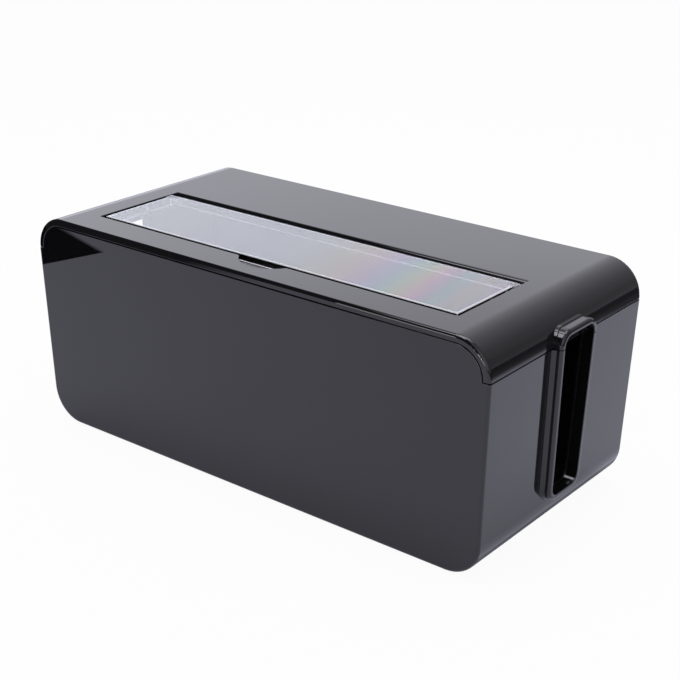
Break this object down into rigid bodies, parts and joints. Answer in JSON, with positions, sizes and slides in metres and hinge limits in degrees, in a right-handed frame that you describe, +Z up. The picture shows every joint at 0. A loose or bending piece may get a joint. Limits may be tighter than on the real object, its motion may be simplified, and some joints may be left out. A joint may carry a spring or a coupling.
{
  "type": "cable management box",
  "caption": "Tapered black box that hides a power strip: lift-off lid, clear hinged window flap, open-topped cable slot with a stepped collar in each end.",
  "frame": {"origin": "centre of the closed box, on the surface that its feet stand on", "axes": "+X along the length towards the right cable slot, +Y towards the back, +Z up"},
  "size_m": [0.3482, 0.1592, 0.1393],
  "materials": {
    "black_shell": "high-gloss moulded ABS",
    "clear_flap": "clear moulded polystyrene",
    "pin_steel": "plain steel pin",
    "foot_rubber": "matt black rubber"
  },
  "bodies": {
    "base": {"base_tub": "black_shell", "foot_front_left": "foot_rubber", "foot_front_right": "foot_rubber", "foot_back_left": "foot_rubber", "foot_back_right": "foot_rubber"},
    "lid": {"lid_shell": "black_shell"},
    "flap": {"window_flap": "clear_flap", "hinge_pin_left": "pin_steel", "hinge_pin_right": "pin_steel"}
  },
  "joints": [
    {"name": "lid_lift", "type": "slide", "parent": "base", "child": "lid", "axis": [0, 0, 1], "range_m": [0, 0.08]},
    {"name": "window_hinge", "type": "hinge", "parent": "lid", "child": "flap", "pos_m": [0, 0.003, 0.137], "axis": [-1, 0, 0], "range_deg": [0, 140]}
  ]
}
